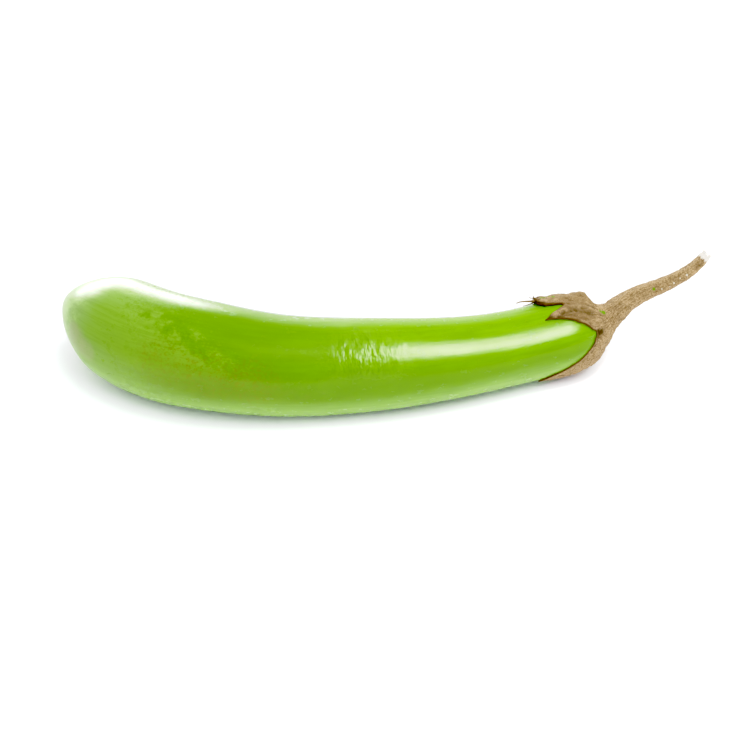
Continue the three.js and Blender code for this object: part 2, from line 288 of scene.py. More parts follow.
# The studio, in metres. The walls and the ceiling each have a direction, how far towards it they
# begin and end, and the brightness there. A panel has its name, place, target, width, height and
# radiance. The wash is a little blue, to keep the floor neutral beside the green.
WALLS = ((-0.3, 0.95, 0), 0, 0.6, 0.35, 2.2)
CEILING = ((0, 0, 1), 0.2, 0.8, 1.0, 0.1)
DIFFUSE_PANELS = (
    ("key", (0.35, -0.35, 0.92), (0, 0, 0), 0.9, 0.7, 5.2),
    ("overhead", (0.1, 0.05, 0.95), (0, 0, 0), 1.2, 1.2, 2.2),
)
GLOSS_PANELS = (
    ("front_gloss", (0.57, -0.40, 0.79), (0.02, 0, 0.02), 0.49, 0.44, 28.0),
    ("back_gloss", (-0.36, 0.72, 0.265), (-0.06, 0, 0.03), 0.62, 0.46, 20.0),
)
FLOOR_WASH = ("floor_wash", (-0.1, -0.9, 0.95), (-0.03, 0, 0), 1.2, 1.2, 4.0)
WASH_TINT = (0.93, 0.95, 1.1)
# The tone curve: the brightest radiance that it holds, and how bright some radiances are shown.
BRIGHTEST = 1.4
TONES = ((0.035, 0), (0.12, 0.095), (0.5, 0.5), (0.75, 0.7), (1.0, 0.82), (1.2, 0.89))

# How finely the meshes are cut.
PATH_STEPS = 400
FRUIT_COLUMNS = 240
DOME_ROWS = 40
BODY_ROWS = 250
COLUMNS_PER_MARGIN = 30
SEAT_ROWS = 6
INNER_ROWS = 24
RIM_ROWS = 5
LOBE_ROWS = 70
FLARE_ROWS = 24
STEM_ROWS = 120
CUT_ROWS = 5
STRAND_ROWS = 14
STRAND_SIDES = 8


def smooth_through(stations, values):
    """A natural cubic through a table's stations, as a function of the share."""
    x = np.array(stations, float)
    y = np.array(values, float)
    width = np.diff(x)
    slope = np.diff(y) / width
    system = np.eye(len(x))
    right_side = np.zeros(len(x))
    for i in range(1, len(x) - 1):
        system[i, i - 1:i + 2] = width[i - 1], 2 * (width[i - 1] + width[i]), width[i]
        right_side[i] = 6 * (slope[i] - slope[i - 1])
    bend = np.linalg.solve(system, right_side)

    def curve(share):
        i = np.clip(np.searchsorted(x, share, side="right") - 1, 0, len(width) - 1)
        b = (share - x[i]) / width[i]
        a = 1 - b
        bending = (a**3 - a) * bend[i] + (b**3 - b) * bend[i + 1]
        return a * y[i] + b * y[i + 1] + bending * width[i] ** 2 / 6

    return curve


def smoothstep(value, low, high):
    share = np.clip((value - low) / (high - low), 0, 1)
    return share * share * (3 - 2 * share)


def hump(value, middle, width):
    return np.exp(-(((value - middle) / width) ** 2))


def blend(a, b, share):
    return a + (b - a) * share


def unit(vectors):
    return vectors / np.linalg.norm(vectors, axis=-1, keepdims=True)


def scaled(vectors, lengths):
    return vectors * np.asarray(lengths)[..., None]


def direction_of(heading, rise):
    turn, climb = np.broadcast_arrays(np.radians(heading), np.radians(rise))
    return np.stack([np.cos(turn) * np.cos(climb), np.sin(turn) * np.cos(climb), np.sin(climb)], -1)


def outward_of(tangent, around):
    """The direction out of a path, square to it: 0 is its right side and a quarter turn is upward."""
    left = unit(np.stack([-tangent[..., 1], tangent[..., 0], 0 * tangent[..., 0]], -1))
    up = np.cross(tangent, left)
    return scaled(up, np.sin(around)) - scaled(left, np.cos(around))


def walk(start, length, direction):
    """A path from a start that keeps to a direction given at each share of its length."""
    middles = (np.arange(PATH_STEPS) + 0.5) / PATH_STEPS
    steps = np.cumsum(direction(middles) * length / PATH_STEPS, axis=0)
    points = np.vstack([[start], start + steps])
    shares = np.linspace(0, 1, PATH_STEPS + 1)

    def path(share):
        return np.stack([np.interp(share, shares, points[:, axis]) for axis in range(3)], -1)

    return path


def bezier(points, share):
    """A cubic Bezier curve: two ends with two handles between them."""
    share = np.asarray(share)[..., None]
    a, b, c, d = (np.asarray(point, float) for point in points)
    rest = 1 - share
    return a * rest**3 + 3 * b * rest**2 * share + 3 * c * rest * share**2 + d * share**3


def noise_at(points, octaves):
    """Smooth noise, about -1 to 1, the same in every run."""
    flat = np.asarray(points, float).reshape(-1, 3)
    values = [noise.fractal(Vector(point), 1.0, 2.0, octaves) for point in flat]
    return np.array(values).reshape(np.shape(points)[:-1])


heading = smooth_through(*PLAN_HEADING)
radius = smooth_through(*BODY_RADIUS)
lift = smooth_through(*UNDERSIDE)


def plan_direction(share):
    return direction_of(heading(share), 0)


plan_path = walk(np.array(BLOSSOM_END, float), SPINE_LENGTH, plan_direction)


def spine_height(share):
    return radius(share) + lift(share)


def spine_point(share):
    point = plan_path(share)
    point[..., 2] = spine_height(share)
    return point


def spine_tangent(share):
    step = 0.002
    climb = spine_height(share + step) - spine_height(share - step)
    tangent = plan_direction(share)
    tangent[..., 2] = climb / (2 * step * SPINE_LENGTH)
    return unit(tangent)


def dome(from_end, length):
    """How much of the full radius an elliptical end has left, and how far its skin leans."""
    rest = np.maximum(0, 1 - from_end / length)
    return np.sqrt(1 - rest**2), rest / length


def fruit_point(share, around, height):
    """A point at a height over the fruit's skin. Nothing goes below the floor."""
    share, around, height = np.broadcast_arrays(share, around, height)
    blossom_girth, blossom_lean = dome(share * SPINE_LENGTH, BLOSSOM_DOME)
    stem_girth, stem_lean = dome((1 - share) * SPINE_LENGTH, STEM_DOME)
    tangent = spine_tangent(share)
    outward = outward_of(tangent, around)
    girth = blossom_girth * stem_girth
    normal = unit(scaled(outward, girth / radius(share)) + scaled(tangent, stem_lean - blossom_lean))
    swell = 1 + sum(depth * np.sin(count * around + turn * share) for count, turn, depth in SWELLS)
    point = spine_point(share) + scaled(outward, radius(share) * girth * swell) + scaled(normal, height)
    point[..., 2] = np.maximum(point[..., 2], 0)
    return point


def closed_skin(first_pole, rings, last_pole, attributes):
    """The points, faces and attributes of one closed skin through rings of points, from a first
    pole to a last one. An attribute has a value for each ring point, and a pole takes its nearest
    ring's mean."""
    rows, columns = rings.shape[:2]
    row, column = np.meshgrid(np.arange(rows - 1), np.arange(columns), indexing="ij")
    corner = 1 + row * columns + column
    beside = 1 + row * columns + (column + 1) % columns
    quads = np.stack([corner, corner + columns, beside + columns, beside], -1).reshape(-1, 4)
    first = np.arange(columns)
    after = (first + 1) % columns
    last_row = 1 + (rows - 1) * columns
    end = 1 + rows * columns
    first_cap = np.stack([0 * first, 1 + first, 1 + after], -1)
    last_cap = np.stack([0 * first + end, last_row + after, last_row + first], -1)
    points = np.vstack([[first_pole], rings.reshape(-1, 3), [last_pole]])
    flat = {}
    for key, values in attributes.items():
        width = values.shape[2:]
        flat[key] = np.concatenate([
            values[0].mean(0).reshape(1, *width),
            values.reshape(rows * columns, *width),
            values[-1].mean(0).reshape(1, *width),
        ])
    return points, (quads, first_cap, last_cap), flat


def add_piece(name, skins):
    """A piece of one or more closed skins, which rides on the only body."""
    faces = []
    start = 0
    for points, face_groups, _ in skins:
        for group in face_groups:
            faces += (group + start).tolist()
        start += len(points)
    mesh = bpy.data.meshes.new(name)
    mesh.from_pydata((np.vstack([skin[0] for skin in skins]) * MM).tolist(), [], faces)
    mesh.shade_smooth()
    for key in skins[0][2]:
        values = np.concatenate([skin[2][key] for skin in skins])
        kind, field = ("FLOAT_VECTOR", "vector") if values.ndim > 1 else ("FLOAT", "value")
        mesh.attributes.new(key, kind, "POINT").data.foreach_set(field, values.ravel())
    piece = bpy.data.objects.new(name, mesh)
    bpy.context.scene.collection.objects.link(piece)
    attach(piece, "root")
    return piece


def dome_steps(length):
    """How far from a dome's end its rings lie, in shares of the spine and evenly in angle."""
    angles = np.arange(1, DOME_ROWS + 1) / DOME_ROWS * TURN / 4
    return (1 - np.cos(angles)) * length / SPINE_LENGTH


def skin_relief(share, around):
    """Shallow unevenness of the taut skin: long flutes, faint dents and the blossom scar."""
    along = share * SPINE_LENGTH
    ring = np.stack([along, radius(share) * np.cos(around), radius(share) * np.sin(around)], -1)
    flutes = FLUTE_DEPTH * noise_at(ring * FLUTE_SCALE, 2)
    dents = DENT_DEPTH * noise_at(ring * DENT_SCALE + DENT_SHIFT, 3)
    from_pole = radius(share) * dome(along, BLOSSOM_DOME)[0]
    scar = -SCAR_DEPTH * np.maximum(0, 1 - (from_pole / SCAR_RADIUS) ** 2)
    return (flutes + dents) * smoothstep(from_pole, 0, RELIEF_FULL_AT) + scar


def make_fruit():
    blossom = dome_steps(BLOSSOM_DOME)
    stem = 1 - dome_steps(STEM_DOME)[::-1]
    body = np.linspace(blossom[-1], stem[0], BODY_ROWS + 1)[1:-1]
    share = np.concatenate([blossom, body, stem])[:, None]
    around = ((np.arange(FRUIT_COLUMNS) + 0.5) / FRUIT_COLUMNS * TURN - TURN / 4)[None, :]
    share, around = np.broadcast_arrays(share, around)
    rings = fruit_point(share, around, skin_relief(share, around))
    sideways = SKIN_MAP_RADIUS * np.cos(around)
    upward = SKIN_MAP_RADIUS * np.sin(around)
    place = np.stack([share * SPINE_LENGTH, sideways, upward], -1)
    first_pole = fruit_point(0.0, 0.0, -SCAR_DEPTH)
    last_pole = fruit_point(1.0, 0.0, 0.0)
    return add_piece("eggplant_fruit", [closed_skin(first_pole, rings, last_pole, {"place": place})])


def meridian_angle(from_stem):
    """The angle that stands for a distance from the stem end: a right angle on the dome, and then
    growing by the same length of skin."""
    on_dome = np.arccos(1 - np.minimum(from_stem, STEM_DOME) / STEM_DOME)
    return np.where(from_stem < STEM_DOME, on_dome, TURN / 4 + (from_stem - STEM_DOME) / radius(1.0))


def share_at_angle(angle):
    on_dome = STEM_DOME * (1 - np.cos(angle))
    on_body = STEM_DOME + (angle - TURN / 4) * radius(1.0)
    return 1 - np.where(angle < TURN / 4, on_dome, on_body) / SPINE_LENGTH


def calyx_columns():
    """The calyx's columns in their order round the fruit, as a dict of arrays."""
    parts = []
    for i, lobe in enumerate(LOBES):
        next_lobe = LOBES[(i + 1) % len(LOBES)]
        next_around, next_from_stem = next_lobe["gap"]
        if next_around < lobe["tip"][0]:
            next_around += 360
        sides = (
            (lobe["gap"], *lobe["rise"], lobe["tip"]),
            (lobe["tip"], *lobe["fall"], (next_around, next_from_stem)),
        )
        for which, side in enumerate(sides):
            share = np.arange(COLUMNS_PER_MARGIN) / COLUMNS_PER_MARGIN
            tipness = share if which == 0 else 1 - share
            mid_side = 4 * tipness * (1 - tipness)
            gap_curl = (lobe, next_lobe)[which]["gap_curl"]
            end_curl = blend(gap_curl, lobe["tip_curl"], tipness)
            edge = bezier(side, share)
            parts.append(dict(
                around=np.radians(blend(side[0][0], side[3][0], share)),
                margin_around=np.radians(edge[:, 0]),
                from_stem=edge[:, 1],
                knuckle=lobe["knuckle"] * smoothstep(tipness, 0, 1),
                fold=lobe["fold"] * smoothstep(tipness, 0, 1),
                curl=blend(end_curl, lobe["curl"][which], mid_side),
                lip=lobe["lip"][which] * np.sqrt(mid_side),
                groove=lobe["groove"][which] * mid_side,
            ))
    columns = {key: np.concatenate([part[key] for part in parts]) for key in parts[0]}
    ring = np.stack([np.cos(columns["around"]), np.sin(columns["around"]), 0 * columns["around"]], -1)
    columns["from_stem"] = columns["from_stem"] + MARGIN_RAGS * noise_at(ring * RAG_TURNS, 3)
    columns["margin_angle"] = meridian_angle(columns["from_stem"])
    columns["ring"] = ring[:, :2]
    return columns


def relief(columns, along):
    """How far the calyx stands off the fruit at a share of the way from the flare to the margin."""
    knuckle = hump(along, KNUCKLE_AT, KNUCKLE_WIDTH)
    fold = smoothstep(along, *FOLD_RISE) * (1 - FOLD_SUNK * smoothstep(along, *FOLD_FALL))
    curl = smoothstep(along, *CURL_RISE)
    return columns["knuckle"] * knuckle + columns["fold"] * fold + columns["curl"] * curl


def calyx_point(columns, along, height):
    angle = blend(FLARE_ANGLE, columns["margin_angle"], along)
    around = blend(columns["around"], columns["margin_around"], np.maximum(along, 0) ** LOBE_SPREAD)
    return fruit_point(share_at_angle(angle), around, height)


def inner_height(columns, along):
    hollow = blend(HOLLOW_SHARE, HOLLOW_AT_MARGIN, smoothstep(along, *HOLLOW_FALL))
    return blend(FRUIT_GAP, GAP_AT_MARGIN, along) + hollow * relief(columns, along)


def outer_height(columns, along):
    skin = blend(FRUIT_GAP + SKIN_AT_FLARE, GAP_AT_MARGIN + SKIN_AT_MARGIN, along)
    lip = columns["lip"] * hump(along, LIP_AT, LIP_WIDTH)
    groove = columns["groove"] * hump(along, GROOVE_AT, GROOVE_WIDTH)
    return skin + relief(columns, along) + lip - groove


climb = smooth_through(*STEM_RISE)
stem_girth = smooth_through(*STEM_RADIUS)


def stem_direction(share):
    return direction_of(blend(*STEM_HEADINGS, share), climb(share))


stem_path = walk(spine_point(1.0) + (0, 0, STEM_OFFSET), STEM_LENGTH, stem_direction)


def stem_point(share, around):
    share, around = np.broadcast_arrays(share, around)
    rib = 1 + STEM_RIB_DEPTH * np.cos(STEM_RIBS * around)
    outward = outward_of(stem_direction(share), around)
    return stem_path(share) + scaled(outward, stem_girth(share) * rib)


def on_stem(share, degrees):
    return stem_point(share, math.radians(degrees))


def flare_rings(columns):
    """The concave flare between the calyx's skin and the stem."""
    foot = calyx_point(columns, 0.0, outer_height(columns, 0.0))
    step = 0.125
    inward = foot - calyx_point(columns, step, outer_height(columns, step))
    neck = stem_point(FLARE_TOP, columns["around"])
    reach = FLARE_BEND * np.linalg.norm(neck - foot, axis=-1)
    foot_handle = foot + scaled(unit(inward), reach)
    neck_handle = neck - scaled(stem_direction(np.full_like(reach, FLARE_TOP)), reach)
    along = (np.arange(1, FLARE_ROWS) / FLARE_ROWS)[:, None]
    return bezier((foot, foot_handle, neck_handle, neck), along * np.ones_like(reach))


def rim_rings(columns):
    """The margin's rounded edge, from the inside over to the outside."""
    low = inner_height(columns, 1.0)
    half = (outer_height(columns, 1.0) - low) / 2
    rings = []
    for row in range(1, RIM_ROWS + 1):
        angle = row / (RIM_ROWS + 1) * TURN / 2
        past = half * math.sin(angle) / radius(1.0) / columns["margin_angle"]
        rings.append(calyx_point(columns, 1 + past, low + half * (1 - math.cos(angle))))
    return np.array(rings)


def surface_normals(rings):
    """Which way the skin faces at each ring point, for relief that stands square to it."""
    across = np.roll(rings, -1, axis=1) - np.roll(rings, 1, axis=1)
    along = np.gradient(rings, axis=0)
    return unit(np.cross(along, across))


def wrinkled(rings, columns, depth):
    """Outer rings pushed in and out by lengthwise wrinkles, creases and lumps, how high each point
    stands in wrinkle depths, how dark it is painted, as shade in the pit and furrow and at the
    near lobe's dark tip, and its place as the wrinkles run. Nothing goes below the floor."""
    steps = np.linalg.norm(np.diff(rings, axis=0), axis=-1)
    distance = np.vstack([np.zeros((1, rings.shape[1])), np.cumsum(steps, axis=0)])
    ring = np.broadcast_to(columns["ring"], (*distance.shape, 2)) * WRINKLES_ROUND
    place = np.dstack([ring, distance])
    waves = np.abs(noise_at(np.dstack([ring, distance / WRINKLE_LENGTH]), 3))
    ridges = WRINKLE_CREST - WRINKLE_STEEPNESS * waves
    creases = noise_at(rings / CREASE_SIZE, 3)
    lumps = noise_at(rings / LUMP_SIZE + LUMP_SHIFT, 2)
    height = WRINKLE_DEPTH * ridges + CREASE_DEPTH * creases + LUMP_DEPTH * lumps
    sunk = within(rings, PIT + FURROW)
    moved = rings + scaled(surface_normals(rings), (height - PIT_DEPTH * sunk) * depth)
    moved[..., 2] = np.maximum(moved[..., 2], 0)
    # The pit and furrow are painted dark as shade, and the near lobe's tip is darker.
    furrow = within(rings, FURROW) * np.clip(FURROW_SHADE - FURROW_BREAKS * creases, *FURROW_LIMITS)
    dark = np.maximum(within(rings, PIT + DARK_TIP), furrow)
    return moved, height / WRINKLE_DEPTH, dark, place


def near_stem_end(degrees, from_stem, height):
    """A place in the calyx's measures, over the fruit's skin."""
    return fruit_point(1 - from_stem / SPINE_LENGTH, math.radians(degrees), height)


def spots_on_fruit(places):
    """The centre and reach of each small place in the calyx's measures."""
    return [(near_stem_end(*place), reach) for *place, reach in places]


def spots_on_stem(places):
    return [(on_stem(*place), reach) for *place, reach in places]


def within(points, places):
    """How far points lie inside any of some small round places, from 0 to 1."""
    most = np.zeros(points.shape[:-1])
    for centre, reach in spots_on_fruit(places):
        distance = np.linalg.norm(points - centre, axis=-1)
        most = np.maximum(most, 1 - smoothstep(distance, reach * RELIEF_CORE, reach))
    return most


def lobe_inside(columns):
    """The rings that face the fruit, from the middle of the seat out to the margin's edge."""
    seat_angle = (FLARE_ANGLE * np.arange(1, SEAT_ROWS) / SEAT_ROWS)[:, None]
    seat = fruit_point(share_at_angle(seat_angle), columns["around"], FRUIT_GAP)
    along = np.linspace(0, 1, INNER_ROWS)[:, None]
    inner = calyx_point(columns, along, inner_height(columns, along))
    return np.concatenate([seat, inner, rim_rings(columns)])


def stem_cut(last_ring):
    """The flat rings that close the stem's end."""
    middle = stem_path(1.0)
    shares = np.linspace(1, 0, CUT_ROWS + 1)[1:-1]
    return np.array([middle + (last_ring - middle) * share for share in shares])


def padded(values, before, after, mode="constant"):
    """Values of the outside's rings, with rows added for the rings before and after them."""
    return np.pad(values, [(before, after)] + [(0, 0)] * (values.ndim - 1), mode=mode)


def make_calyx_and_stem():
    columns = calyx_columns()
    back = np.linspace(1, 0, LOBE_ROWS)[:, None]
    up = np.linspace(FLARE_TOP, 1, STEM_ROWS)[:, None]
    flare = flare_rings(columns)
    level = np.zeros((len(flare), 1))
    lobes = calyx_point(columns, back, outer_height(columns, back))
    stem = stem_point(up, columns["around"])
    depth = np.concatenate([
        smoothstep(1 - back, *RELIEF_FROM_MARGIN),
        level + 1,
        blend(1, STEM_RELIEF, smoothstep(up, FLARE_TOP, STEM_RELIEF_FROM)),
    ])
    outside, wrinkle, dark, place = wrinkled(np.concatenate([lobes, flare, stem]), columns, depth)
    edge = np.concatenate([smoothstep(back, *BROWN_EDGE), level, 0 * up])
    pale = np.concatenate([0 * back, level, smoothstep(up, *PALE_END)])
    inside = lobe_inside(columns)
    cut = stem_cut(outside[-1])
    before, after = len(inside), len(cut)
    across = np.ones((1, len(columns["around"])))
    attributes = {
        "place": padded(place, before, after, "edge"),
        # The inside takes the margin's brown all over, as painted shade under the lobes.
        "edge": padded(edge, before, after, "edge") * across,
        "pale": padded(pale, before, after, "edge") * across,
        "dark": padded(dark, before, after),
        "wrinkle": padded(wrinkle, before, after),
    }
    rings = np.concatenate([inside, outside, cut])
    skin = closed_skin(fruit_point(1.0, 0.0, FRUIT_GAP), rings, stem_path(1.0), attributes)
    return add_piece("eggplant_calyx_and_stem", [skin])


def strand(path, thickness, edge, pale):
    """A thin tapered fibre along a Bezier curve, as a closed skin with the calyx's attributes."""
    share = np.linspace(0, 1, STRAND_ROWS)
    middle = bezier(path, share)
    tangent = unit(np.gradient(middle, axis=0))[:, None]
    around = (np.arange(STRAND_SIDES) / STRAND_SIDES * TURN)[None, :]
    girth = blend(*thickness, share)[:, None] / 2 * np.ones_like(around)
    rings = middle[:, None] + scaled(outward_of(tangent, around), girth)
    rings[..., 2] = np.maximum(rings[..., 2], 0)
    even = np.ones(rings.shape[:2])
    levels = {"edge": edge, "pale": pale, "dark": 0, "wrinkle": 0}
    attributes = {"place": rings} | {key: level * even for key, level in levels.items()}
    return closed_skin(middle[0], rings, middle[-1], attributes)


def cut_fibre(around, length, spread):
    """A pale fibre out of the stem's cut, leaning outward by its spread."""
    direction = stem_direction(1.0)
    outward = outward_of(direction, around)
    at_cut = stem_path(1.0) + outward * stem_girth(1.0) * CUT_FIBRE_GIRTH
    lean = (direction + outward * spread) * length
    path = [at_cut - direction * length, at_cut, at_cut + lean * 0.5, at_cut + lean]
    return strand(path, CUT_FIBRE_THICKNESS, 0, 1)


def make_threads():
    """The dried threads at the top lobe's tip and the frayed fibres at the cut."""
    draw = np.random.default_rng(4)
    skins = [strand([near_stem_end(*place) for place in places], (first, last), THREAD_EDGE, 0)
             for places, first, last in TIP_THREADS]
    for k in range(CUT_FIBRES):
        around = (k + draw.uniform(*CUT_FIBRE_SHIFT)) / CUT_FIBRES * TURN
        length = draw.uniform(*CUT_FIBRE_LENGTH)
        skins.append(cut_fibre(around, length, draw.uniform(*CUT_FIBRE_SPREAD)))
    return add_piece("eggplant_calyx_threads", skins)


def srgb(red, green, blue):
    """A colour as seen on a screen, 0 to 255, as the linear values that shaders take."""
    channels = [c / 255 for c in (red, green, blue)]
    return (*(c / 12.92 if c < 0.04045 else ((c + 0.055) / 1.055) ** 2.4 for c in channels), 1)


class Shading:
    """The node tree of a material or world, with one short method for each kind of node used here."""

    def __init__(self, owner, shader):
        self.owner = owner
        self.owner.use_nodes = True
        self.tree = self.owner.node_tree
        self.shader = self.tree.nodes[shader]

    def node(self, kind, inputs, **settings):
        made = self.tree.nodes.new(kind)
        for key, value in settings.items():
            setattr(made, key, value)
        for key, value in inputs.items():
            self.put(made.inputs[key], value)
        return made

    def put(self, socket, value):
        if isinstance(value, bpy.types.NodeSocket):
            self.tree.links.new(value, socket)
        else:
            socket.default_value = value

    def attribute(self, name):
        return self.node("ShaderNodeAttribute", {}, attribute_name=name)

    def level(self, name):
        return self.attribute(name).outputs["Fac"]

    def stretched(self, vector, scale, shift=(0, 0, 0)):
        inputs = {0: vector, 1: scale, 2: shift}
        return self.node("ShaderNodeVectorMath", inputs, operation="MULTIPLY_ADD").outputs[0]

    def measured(self, operation, a, b):
        """A distance or a dot product of two vectors."""
        return self.node("ShaderNodeVectorMath", {0: a, 1: b}, operation=operation).outputs["Value"]

    def noise(self, vector, scale, detail, roughness):
        inputs = {"Vector": vector, "Scale": scale, "Detail": detail, "Roughness": roughness}
        return self.node("ShaderNodeTexNoise", inputs).outputs["Fac"]

    def ramp(self, value, low, high, to_low=0, to_high=1):
        inputs = {0: value, 1: low, 2: high, 3: to_low, 4: to_high}
        return self.node("ShaderNodeMapRange", inputs, interpolation_type="SMOOTHSTEP").outputs[0]

    def plus(self, a, b):
        return self.node("ShaderNodeMath", {0: a, 1: b}, operation="ADD").outputs[0]

    def times(self, a, b):
        return self.node("ShaderNodeMath", {0: a, 1: b}, operation="MULTIPLY").outputs[0]

    def wavering(self, value, noise, reach, low=0.2, high=0.8):
        """A value that a noise pushes up and down by a reach."""
        return self.plus(value, self.ramp(noise, low, high, -reach, reach))

    def mix(self, share, a, b):
        """A colour on the way from one to another. Each is a socket, or as seen on a screen."""
        made = self.node("ShaderNodeMix", {0: share}, data_type="RGBA")
        for socket, value in ((6, a), (7, b)):
            self.put(made.inputs[socket], srgb(*value) if isinstance(value, tuple) else value)
        return made.outputs[2]

    def millimetres(self):
        """Where a point lies on its object, in millimetres."""
        point = self.node("ShaderNodeTexCoord", {}).outputs["Object"]
        return self.stretched(point, (1 / MM, 1 / MM, 1 / MM))

    def spot(self, point, centre, reach):
        """1 within a small round place, and 0 past its reach."""
        distance = self.measured("DISTANCE", point, centre)
        return self.ramp(distance, reach * COLOR_CORE, reach, 1, 0)

    def bump(self, height, strength, distance, normal=None):
        inputs = {"Height": height, "Strength": strength, "Distance": distance}
        if normal is not None:
            inputs["Normal"] = normal
        return self.node("ShaderNodeBump", inputs).outputs[0]

    def finished(self, looks):
        """The material or world, with its looks put on the shader's own sockets."""
        for key, value in looks.items():
            self.put(self.shader.inputs[key], value)
        return self.owner


def new_material(name):
    return Shading(bpy.data.materials.new(name), "Principled BSDF")


def spotted(shading, color, shade, point, spots, strength=1):
    """A colour with another one in small round spots, each with its centre and reach."""
    for centre, reach in spots:
        near = shading.spot(point, centre, reach)
        color = shading.mix(shading.times(near, strength), color, shade)
    return color


def skin_fields(shading):
    """What the skin's looks depend on: the places along the spine, towards the front and upward,
    the noises, and how much a place belongs to the lower skin, which is painted in shade."""
    place = shading.attribute("place").outputs["Vector"]
    parts = shading.node("ShaderNodeSeparateXYZ", {0: place}).outputs
    skin = {"along": parts[0], "front": parts[1], "top": parts[2]}
    for name, (lengthwise, across, detail, roughness) in SKIN_NOISES.items():
        scaled_place = shading.stretched(place, (lengthwise, across, across))
        skin[name] = shading.noise(scaled_place, 1.0, detail, roughness)
    # The lower skin carries painted shade.
    skin["low"] = shading.ramp(shading.wavering(skin["top"], skin["clouds"], 3), *SHADED_SKIN_HEIGHTS, 1, 0)
    return skin


def lime_color(shading, skin):
    """Fresh green, brighter towards the stem, with streaks, mottles and a lower half darkened as
    painted shade.
    """
    by_stem = shading.ramp(skin["along"], *LIME_TURN)
    streak = shading.mix(by_stem, STREAK, STREAK_BY_STEM)
    color = shading.mix(by_stem, LIME, LIME_BY_STEM)
    color = shading.mix(shading.ramp(skin["streaks"], 0.4, 0.7, 0, 0.6), color, streak)
    color = shading.mix(shading.ramp(skin["mottle"], 0.5, 0.75, 0, 0.55), color, MOTTLED_LIME)
    color = shading.mix(shading.ramp(skin["clouds"], 0.5, 0.7, 0, 0.5), color, CLOUDED_LIME)
    # Painted shade on the lower half.
    return shading.mix(shading.times(skin["low"], 0.9), color, LIME_IN_PAINTED_SHADE)


def with_olive(shading, skin, color):
    """The olive part at the blossom end, with a ragged slanting edge, lighter on top and darker
    below as painted light and shade, and the paler underside, a painted reflection of the floor.
    """
    slanted = shading.plus(skin["along"], shading.times(skin["top"], OLIVE_SLANT))
    ragged = shading.wavering(slanted, skin["mottle"], 22)
    ragged = shading.wavering(ragged, skin["grain"], 9, 0.3, 0.7)
    by_stem = shading.ramp(skin["along"], *OLIVE_TURN)
    olive_in_painted_shade = shading.mix(by_stem, BLOSSOM_OLIVE_IN_PAINTED_SHADE, OLIVE_IN_PAINTED_SHADE)
    # Painted light on top and painted shade below.
    olive = shading.mix(skin["low"], OLIVE_IN_PAINTED_LIGHT, olive_in_painted_shade)
    color = shading.mix(shading.ramp(ragged, *OLIVE_EDGE, 0.85, 0), color, olive)
    # The paler underside is a painted reflection of the floor.
    height = shading.wavering(skin["top"], skin["clouds"], 2)
    height = shading.plus(height, shading.ramp(skin["along"], *UNDERSIDE_SINKS))
    return shading.mix(shading.ramp(height, *UNDERSIDE_EDGE, 1, 0), color, PAINTED_FLOOR_REFLECTION)


def with_marks(shading, skin, color):
    """The thin dark lines, the bloom at the blossom end, partly its own pale colour and partly
    painted sheen that is lighter on top, the blotches and the scar.
    """
    color = shading.mix(shading.ramp(skin["lines"], 0.42, 0.62, 0, 0.3), color, DARK_LINE)
    bloom = shading.wavering(skin["along"], skin["mottle"], 6)
    # Partly the bloom's own pale colour and partly painted sheen, lighter on top as painted light.
    bloom_and_sheen_color = shading.mix(skin["low"], LIT_BLOOM_AND_SHEEN, SHADED_BLOOM_AND_SHEEN)
    color = shading.mix(shading.ramp(bloom, *BLOOM_EDGE, 0.85, 0), color, bloom_and_sheen_color)
    point = shading.millimetres()
    for places, shade, sparse in (
            (TAN_BLOTCHES, TAN_BLOTCH, 0.3), (RUSTY_BLOTCHES, RUSTY_BLOTCH, 0.48)):
        dotted = shading.ramp(skin["grain"], sparse, sparse + 0.15, 0, 0.6)
        color = spotted(shading, color, shade, point, spots_on_fruit(places), dotted)
    scar = shading.wavering(skin["along"], skin["clouds"], 3)
    return shading.mix(shading.ramp(scar, *SCAR_EDGE, 0.8, 0), color, SCAR_TAN)


def skin_material():
    """Waxy lime skin: lengthwise streaks, olive and duller at the blossom end and along its flank,
    tan round the scar, with a soft bloom over the gloss that is partly painted sheen, painted
    shade on its lower half and a painted reflection of the floor on its underside."""
    shading = new_material("lime_skin")
    skin = skin_fields(shading)
    color = lime_color(shading, skin)
    color = with_olive(shading, skin, color)
    color = with_marks(shading, skin, color)
    shoulder = 1
    for field, low, high in SHOULDER:
        shoulder = shading.times(shading.ramp(skin[field], low, high), shoulder)
    rough = shading.ramp(skin["mottle"], 0.3, 0.8, 0.22, 0.3)
    rough = shading.plus(rough, shading.ramp(skin["along"], *SATIN_EDGE, 0.07, 0))
    rough = shading.plus(rough, shading.times(shoulder, SHOULDER_ROUGHNESS))
    normal = shading.bump(shading.times(skin["ripples"], shoulder), 1.0, RIPPLE_HEIGHT)
    normal = shading.bump(skin["streaks"], 1.0, STREAK_HEIGHT, normal)
    normal = shading.bump(skin["mottle"], 1.0, MOTTLE_HEIGHT, normal)
    return shading.finished({
        "Base Color": color, "Roughness": rough, "Normal": normal, "Specular IOR Level": 0.28})


